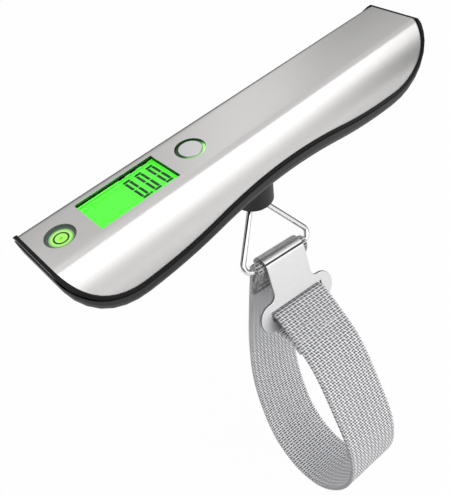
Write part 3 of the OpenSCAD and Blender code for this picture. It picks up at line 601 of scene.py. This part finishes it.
def softenEdges(piece, width, sharpTurn):
    soft = piece.modifiers.new("softEdge", "BEVEL")
    soft.width = width * mm
    soft.segments = 2
    soft.limit_method = "ANGLE"
    soft.angle_limit = radians(sharpTurn)
    return soft


def markCuts(bm):
    # a face is sheared where the metal behind it is deeper than the sheet
    tree = BVHTree.FromBMesh(bm)
    sheared = dict.fromkeys(bm.faces, 0.0)
    for corners in bm.calc_loop_triangles():
        face = corners[0].face
        one, two, three = (corner.vert.co for corner in corners)
        middle = (one + two + three) / 3 - face.normal * edgeWork["nudge"] * mm
        depth = tree.ray_cast(middle, -face.normal)[3]
        side = -1 if depth is not None and depth < edgeWork["sheetDepth"] * mm else 1
        sheared[face] += side * (two - one).cross(three - one).length
    for face, weight in sheared.items():
        face.material_index = int(weight > 0)


def roundEdges(name, width):
    bm = bmesh.new()
    bm.from_mesh(nodes[name].data)
    bmesh.ops.remove_doubles(bm, verts=bm.verts, dist=edgeWork["weld"] * mm)
    bmesh.ops.dissolve_limit(bm, angle_limit=radians(edgeWork["flatTurn"]), verts=bm.verts, edges=bm.edges)
    smoothFaces(bm)
    looks = [finishes[slotOf[name]]]
    if name in shadedCutFinishes:
        markCuts(bm)
        looks.append(shadedCutFinishes[name])
    piece = addPiece(name + "Soft", bm, *looks)
    surface = piece.data.attributes
    if "custom_normal" in surface:
        surface.remove(surface["custom_normal"])
    softenEdges(piece, width, edgeWork["sharpTurn"]).harden_normals = True
    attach(piece, bodyOf[name])
    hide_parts(name)


for name, width in edgeRounds.items():
    roundEdges(name, width)
print("edges rounded on", len(edgeRounds), "nodes")

# webbing strap, laid along the same line as its solid; its shape is in hundredths of the loop
webbing = {
    "width": 25.0, "thickness": 1.4, "loopLength": 103.0, "loopWidth": 58.0,
    "flap": 13.0, "fold": 16.0, "wrapRadius": 1.9, "loopRadius": 3.0,
    "barReach": 22.6, "plateLift": 3.45, "plateTilt": 22.0, "barTurn": 20.0, "turnLift": 1.45,
    "shape": [(5, -19.5), (6, -41), (2.5, -63), (-8, -80.5), (-24, -94), (-46.5, -100), (-69, -97),
              (-86, -86), (-94, -72), (-90, -57), (-74, -42), (-54.5, -27.5), (-36, -20)],
    "hinge": (-3.0193, -13.2424, -55.8819), "across": (0.989665, -0.03456, -0.139173),
    "forward": (0.0349, 0.9994, 0.0), "upward": (0.1391, -0.0049, 0.9903),
    "leadIn": 20.0, "leadOut": 10.0, "sewnGap": 0.125, "closeOver": 8.0, "softEdge": 0.45, "sharpTurn": 50.0,
    "flapSteps": 16, "foldSteps": 20, "turnSteps": 24, "spanSteps": 12, "stepsAlong": 1100, "stepsAcross": 14,
    "scallop": 0.16,
}
webSurface = {
    "pairPitch": 2.06, "coolTint": 1.03, "fuzzTone": 0.6, "fuzzShare": 0.5, "rough": (0.75, 0.95),
    "bump": 0.6, "depth": 0.3, "flapShade": (12.0, 17.0, 0.42),
    "shader": {"Sheen Weight": 0.2, "Sheen Roughness": 0.5, "Specular IOR Level": 0.3},
    "outside": {"rows": 1.06, "slant": 0.5, "tones": [(0.1, 0.06), (0.35, 0.25), (0.55, 0.65), (0.8, 0.97)]},
    "edge": {"rows": 1.06, "slant": 0.5, "tones": [(0.1, 0.22), (0.35, 0.34), (0.55, 0.52), (0.8, 0.64)]},
    "inside": {"rows": 1.17, "slant": -0.5, "tones": [(0.1, 0.0), (0.34, 0.1), (0.47, 0.95), (0.62, 1.0)]},
}
plateTilt, barTurn = radians(webbing["plateTilt"]), radians(webbing["barTurn"])
barPlace = Vector((-sin(plateTilt), -cos(plateTilt))) * (webbing["barReach"] - webbing["turnLift"]) \
    + Vector((-cos(plateTilt), sin(plateTilt))) * webbing["plateLift"]
slotEnd = barPlace + Vector((-sin(barTurn), cos(barTurn))) * webbing["loopRadius"]
webRoute = [Vector((webbing["wrapRadius"], webbing["leadIn"])), Vector((webbing["wrapRadius"], 0))]
webRoute += [Vector((y * webbing["loopWidth"], z * webbing["loopLength"])) / 100 for y, z in webbing["shape"]]
webRoute += [slotEnd, slotEnd + Vector((cos(barTurn), sin(barTurn))) * webbing["leadOut"]]
spans = len(webRoute) - 3


def webAlong(u):
    # smooth curve through the points of the route
    i = max(0, min(spans - 1, int(u)))
    t = u - i
    a, b, c, d = webRoute[i:i + 4]
    return b + 0.5 * t * (c - a + t * (2 * a - 5 * b + 4 * c - d + t * (3 * (b - c) + d - a)))


def webInward(u):
    reach = 0.01
    way = (webAlong(min(spans, u + reach)) - webAlong(max(0, u - reach))).normalized()
    return Vector((way.y, -way.x))


def besideWeb(u, s, mouth):
    # second layer, which closes from the mouth of its turn onto the first
    k = max(0.0, min(1.0, (s - mouth / 2) / webbing["closeOver"]))
    gap = mouth + (webbing["thickness"] + webbing["sewnGap"] - mouth) * k * k * (3 - 2 * k)
    return webAlong(u) + webInward(u) * gap


def flapPlace(s):
    return s / (webRoute[2] - webRoute[1]).length


def foldPlace(s):
    nearLength = (webRoute[spans + 1] - webRoute[spans]).length
    lastLength = (webRoute[spans] - webRoute[spans - 1]).length
    return spans - s / nearLength if s < nearLength else spans - 1 - (s - nearLength) / lastLength


def halfTurn(centre, radius, start):
    steps = webbing["turnSteps"]
    angles = [start - pi * i / steps for i in range(steps + 1)]
    return [centre + Vector((cos(a), sin(a))) * radius for a in angles]


def strapLine():
    flapCount, foldCount, spanCount = webbing["flapSteps"], webbing["foldSteps"], webbing["spanSteps"]
    flapSteps = [webbing["flap"] * i / flapCount for i in range(flapCount, 0, -1)]
    foldSteps = [webbing["fold"] * i / foldCount for i in range(1, foldCount + 1)]
    line = [besideWeb(flapPlace(s), s, 2 * webbing["wrapRadius"]) for s in flapSteps]
    line += halfTurn(Vector((0, 0)), webbing["wrapRadius"], pi)
    line += [webAlong(i / spanCount) for i in range(1, spans * spanCount)]
    line += halfTurn(barPlace, webbing["loopRadius"], pi / 2 + barTurn)
    line += [besideWeb(foldPlace(s), s, 2 * webbing["loopRadius"]) for s in foldSteps]
    return line


def evenLine(line, count):
    reach = [0.0]
    for a, b in zip(line, line[1:]):
        reach.append(reach[-1] + (b - a).length)
    out, k = [], 0
    for i in range(count + 1):
        s = reach[-1] * i / count
        while k < len(reach) - 2 and reach[k + 1] < s:
            k += 1
        t = (s - reach[k]) / (reach[k + 1] - reach[k])
        out.append(line[k].lerp(line[k + 1], t))
    return out, reach[-1]


def strapPoint(x, p):
    return (Vector(webbing["hinge"]) + Vector(webbing["across"]) * x + Vector(webbing["forward"]) * p[0]
            + Vector(webbing["upward"]) * p[1]) * mm


def webFinish(name, look):
    finish, tree, shader = newFinish(name, webSurface["shader"])
    weave = placeGroup(tree, webWeave, {"Rows": look["rows"], "Pairs": webSurface["pairPitch"],
                                        "Slant": look["slant"]}, coords="UV")
    tint = webSurface["coolTint"]
    tones = [(place, (tone, tone, tone * tint)) for place, tone in look["tones"]]
    body = addRamp(tree, weave["Thread"], tones)
    fuzz = mixTones(tree, spread(tree, weave["Fuzz"], 0, 1), grey(webSurface["fuzzTone"]), grey(1.0))
    hazed = mixTones(tree, webSurface["fuzzShare"], body, fuzz, "MULTIPLY")
    start, end, tone = webSurface["flapShade"]  # painted shade over the flap and the start of its wrap, which lie in shadow behind the plate
    along = splitAxes(tree, addNode(tree, "ShaderNodeTexCoord").outputs["UV"])["X"]
    flapShade = mixTones(tree, 1.0, hazed, spread(tree, along, tone, 1, start, end), "MULTIPLY")
    wire(tree, flapShade, shader.inputs["Base Color"])
    wire(tree, spread(tree, weave["Fuzz"], *webSurface["rough"]), shader.inputs["Roughness"])
    addBump(tree, shader, weave["Height"], webSurface["bump"], webSurface["depth"])
    return finish


def buildWebbing():
    steps = webbing["stepsAlong"]
    line, length = evenLine(strapLine(), steps)
    turn = 2 * pi * length / steps / webSurface["outside"]["rows"]  # of the cross thread, for one step
    selvedge = 0.499  # the grid reaches from -0.5 to 0.5
    bm = bmesh.new()
    uv = bm.loops.layers.uv.new("webMap")
    bmesh.ops.create_grid(bm, x_segments=steps, y_segments=webbing["stepsAcross"], size=0.5, calc_uvs=True)
    smoothFaces(bm)
    for face in bm.faces:
        for loop in face.loops:  # millimetres along and across
            loop[uv].uv = ((loop.vert.co.x + 0.5) * length, (loop.vert.co.y + 0.5) * webbing["width"])
    for vert in bm.verts:
        row = round((vert.co.x + 0.5) * steps)
        x = vert.co.y * webbing["width"]
        if abs(vert.co.y) > selvedge:  # turns of the cross thread
            x -= copysign(webbing["scallop"], x) * (1 - cos(turn * row))
        vert.co = strapPoint(x, line[row])
    looks = [webFinish(name, webSurface[side])
             for name, side in (("webInside", "inside"), ("webOutside", "outside"), ("webEdge", "edge"))]
    web = addPiece("strapWebbing", bm, *looks)
    thick = web.modifiers.new("webThickness", "SOLIDIFY")
    thick.thickness = webbing["thickness"] * mm
    thick.offset = 0.0
    thick.material_offset = 1  # outside
    thick.material_offset_rim = 2  # edge
    softenEdges(web, webbing["softEdge"], webbing["sharpTurn"])
    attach(web, "strap_loop")
    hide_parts("strap")
    print("webbing laid,", round(length, 1), "mm long")


buildWebbing()

# sewing across the fold and the flap, seen on both faces
sewing = {
    "rowsAt": {"fold": (7.5, 12.5), "flap": (6.5, 10.5)}, "halfWidth": 9.6, "pitch": 2.4,
    "stitch": (1.0, 0.3, 0.24), "slant": 14.0,
}


def addStitch(bm, centre, across, along, outward):
    made = bmesh.ops.create_uvsphere(bm, u_segments=8, v_segments=6, radius=1.0)["verts"]
    bmesh.ops.scale(bm, verts=made, vec=[s * mm for s in sewing["stitch"]])
    slant = Matrix.Rotation(radians(sewing["slant"]), 3, "Z")
    turn = Matrix((across, along, outward)).transposed() @ slant
    bmesh.ops.rotate(bm, verts=made, cent=(0, 0, 0), matrix=turn)
    bmesh.ops.translate(bm, verts=made, vec=centre)


def buildSewing():
    bm = bmesh.new()
    across = Vector(webbing["across"])
    forward, upward = Vector(webbing["forward"]), Vector(webbing["upward"])
    half = webbing["thickness"] / 2
    places = {"fold": (foldPlace, 2 * webbing["loopRadius"]), "flap": (flapPlace, 2 * webbing["wrapRadius"])}
    count = int(2 * sewing["halfWidth"] / sewing["pitch"]) + 1
    for name, (placeOf, mouth) in places.items():
        for s in sewing["rowsAt"][name]:
            u = placeOf(s)
            inward = webInward(u)
            faces = [(webAlong(u) - inward * half, -inward), (besideWeb(u, s, mouth) + inward * half, inward)]
            for spot, out in faces:
                outward = (forward * out.x + upward * out.y).normalized()
                along = outward.cross(across).normalized()
                for k in range(count):
                    x = -sewing["halfWidth"] + k * sewing["pitch"]
                    addStitch(bm, strapPoint(x, spot), across, along, outward)
    bmesh.ops.recalc_face_normals(bm, faces=bm.faces)
    smoothFaces(bm)
    sewn = addPiece("strapSewing", bm, mouldedFinish("sewingThread", {
        "dark": (0.5, 0.5, 0.5), "light": (0.8, 0.8, 0.8), "rough": (0.7, 0.85),
        "fineness": 4200.0, "cloud": 300.0, "bump": 0.5, "depth": 0.06}))
    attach(sewn, "strap_loop")
    print("sewing added")


buildSewing()

# loose threads where the flap's selvedge shows beside the plate
looseThreads = {
    "count": 110, "length": (0.8, 2.4), "thick": 0.08, "sides": 5, "seed": 11, "steps": 400,
    "upTo": 0.08, "leftShare": 0.8, "inset": 0.25, "scatter": 0.45, "lean": (0.1, 0.7),
    "parts": 3, "bend": 0.5, "taper": 0.75,
}


def anyWay(draw):
    return Vector((draw.uniform(-1, 1), draw.uniform(-1, 1), draw.uniform(-1, 1)))


def buildLooseThreads():
    draw = random.Random(looseThreads["seed"])
    bm = bmesh.new()
    across = Vector(webbing["across"])
    steps, parts, taper = looseThreads["steps"], looseThreads["parts"], looseThreads["taper"]
    line = evenLine(strapLine(), steps)[0]
    for k in range(looseThreads["count"]):
        spot = line[int(draw.uniform(0.0, looseThreads["upTo"]) * steps)]
        side = -1 if draw.random() < looseThreads["leftShare"] else 1
        root = strapPoint(side * (webbing["width"] / 2 - looseThreads["inset"]), spot)
        root += anyWay(draw) * looseThreads["scatter"] * mm
        way = (across * side * draw.uniform(*looseThreads["lean"]) + anyWay(draw)).normalized()
        ring = bmesh.ops.create_circle(bm, cap_ends=True, segments=looseThreads["sides"],
                                       radius=looseThreads["thick"] * mm)["verts"]
        bmesh.ops.rotate(bm, verts=ring, cent=(0, 0, 0), matrix=way.to_track_quat("Z", "Y").to_matrix())
        bmesh.ops.translate(bm, verts=ring, vec=root)
        face = ring[0].link_faces[0]
        stretch = draw.uniform(*looseThreads["length"]) * mm / parts
        for part in range(parts):
            face = bmesh.ops.extrude_discrete_faces(bm, faces=[face])["faces"][0]
            bend = anyWay(draw) * looseThreads["bend"]
            bmesh.ops.translate(bm, verts=face.verts, vec=(way + bend).normalized() * stretch)
            middle = Matrix.Translation(-face.calc_center_median())
            bmesh.ops.scale(bm, verts=face.verts, vec=(taper, taper, taper), space=middle)
    bmesh.ops.recalc_face_normals(bm, faces=bm.faces)
    threads = addPiece("looseThreads", bm, mouldedFinish("looseThread", {
        "dark": (0.6, 0.6, 0.6), "light": (0.88, 0.88, 0.88), "rough": (0.75, 0.9),
        "fineness": 4200.0, "cloud": 300.0, "bump": 0.3, "depth": 0.04}))
    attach(threads, "strap_loop")
    print("loose threads added")


buildLooseThreads()

# display figures on the lit panel, six bars each
figures = {
    "panelTop": -3.3, "lift": 0.03, "thick": 0.03, "width": 2.65, "height": 10.9, "flatBar": 0.92,
    "uprightBar": 0.95, "gap": 0.2, "tip": 0.2, "pitch": 4.31, "start": (-43.6, -4.37), "slant": -0.025,
    "count": 3, "trim": 0.1, "dot": 0.9, "dotSides": 20, "dotPlace": (3.15, 0.5),
}


def addBar(bm, centre, wide, high):
    made = bmesh.ops.create_cube(bm, size=1.0)["verts"]
    thick = figures["thick"]
    bmesh.ops.scale(bm, verts=made, vec=(wide, high, thick))
    edges = dict.fromkeys(e for v in made for e in v.link_edges)
    tips = [e for e in edges if abs(e.verts[0].co.z - e.verts[1].co.z) > thick / 2]
    fresh = bmesh.ops.bevel(bm, geom=tips, offset=figures["tip"], offset_type="OFFSET", affect="EDGES",
                            segments=1, profile=0.5, material=-1)["verts"]
    bmesh.ops.translate(bm, verts=fresh, vec=centre)


def buildFigures():
    bm = bmesh.new()
    w, h, flat, side = figures["width"], figures["height"], figures["flatBar"], figures["uprightBar"]
    high = h / 2 - flat - 2 * figures["gap"]
    level = flat + figures["gap"] + high / 2
    z = figures["panelTop"] + figures["lift"]
    for k in range(figures["count"]):
        x0 = k * figures["pitch"]
        for y in (flat / 2, h - flat / 2):
            addBar(bm, (x0 + w / 2, y, z), w - figures["trim"], flat)
        for x in (side / 2, w - side / 2):
            for y in (level, h - level):
                addBar(bm, (x0 + x, y, z), side, high)
    radius = figures["dot"] / 2
    dot = bmesh.ops.create_cone(bm, cap_ends=True, segments=figures["dotSides"], radius1=radius,
                                radius2=radius, depth=figures["thick"])["verts"]
    bmesh.ops.translate(bm, verts=dot, vec=(*figures["dotPlace"], z))
    for v in bm.verts:
        v.co.x += v.co.y * figures["slant"]
    bmesh.ops.translate(bm, verts=bm.verts, vec=(*figures["start"], 0))
    bmesh.ops.scale(bm, verts=bm.verts, vec=(mm, mm, mm))
    bmesh.ops.recalc_face_normals(bm, faces=bm.faces)
    digits = addPiece("displayFigures", bm, mouldedFinish("figureInk", {
        "dark": (0.0005, 0.008, 0.001), "light": (0.001, 0.014, 0.002), "rough": (0.5, 0.6),
        "fineness": 1500.0, "cloud": 200.0, "bump": 0.02, "depth": 0.01,
        "shader": {"Specular IOR Level": 0.1, "Emission Color": (0.0, 0.03, 0.005, 1),
                   "Emission Strength": 1.0}}))
    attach(digits, "housing")
    print("figures set")


buildFigures()

# ring and middle point printed on the level's window
levelMarks = {"ring": 2.12, "line": 0.3, "sides": 8, "steps": 64, "weld": 1e-4, "dot": 0.2, "height": 0.03}


def buildLevelMarks():
    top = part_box("level_vial")[1][2]
    bm = bmesh.new()
    band = bmesh.ops.create_circle(bm, cap_ends=False, segments=levelMarks["sides"], radius=1.0)["verts"]
    bmesh.ops.scale(bm, verts=band, vec=(levelMarks["line"], levelMarks["height"], 1))
    bmesh.ops.rotate(bm, verts=band, cent=(0, 0, 0), matrix=Matrix.Rotation(radians(90), 3, "X"))
    bmesh.ops.translate(bm, verts=band, vec=(levelMarks["ring"], 0, 0))
    bmesh.ops.spin(bm, geom=bm.verts[:] + bm.edges[:], cent=(0, 0, 0), axis=(0, 0, 1), angle=2 * pi,
                   steps=levelMarks["steps"], use_merge=True)
    bmesh.ops.remove_doubles(bm, verts=bm.verts, dist=levelMarks["weld"])
    dot = bmesh.ops.create_uvsphere(bm, u_segments=16, v_segments=8, radius=levelMarks["dot"])["verts"]
    bmesh.ops.scale(bm, verts=dot, vec=(1, 1, levelMarks["height"] / levelMarks["dot"]))
    bmesh.ops.scale(bm, verts=bm.verts, vec=(mm, mm, mm))
    bmesh.ops.translate(bm, verts=bm.verts, vec=(levelPlace[0] * mm, levelPlace[1] * mm, top))
    bmesh.ops.recalc_face_normals(bm, faces=bm.faces)
    smoothFaces(bm)
    marks = addPiece("levelMarks", bm, mouldedFinish("levelInk", {
        "dark": (0.006, 0.06, 0.002), "light": (0.012, 0.1, 0.003), "rough": (0.4, 0.5),
        "fineness": 1500.0, "cloud": 200.0, "bump": 0.02, "depth": 0.01}))
    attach(marks, "housing")
    print("level marks printed")


buildLevelMarks()
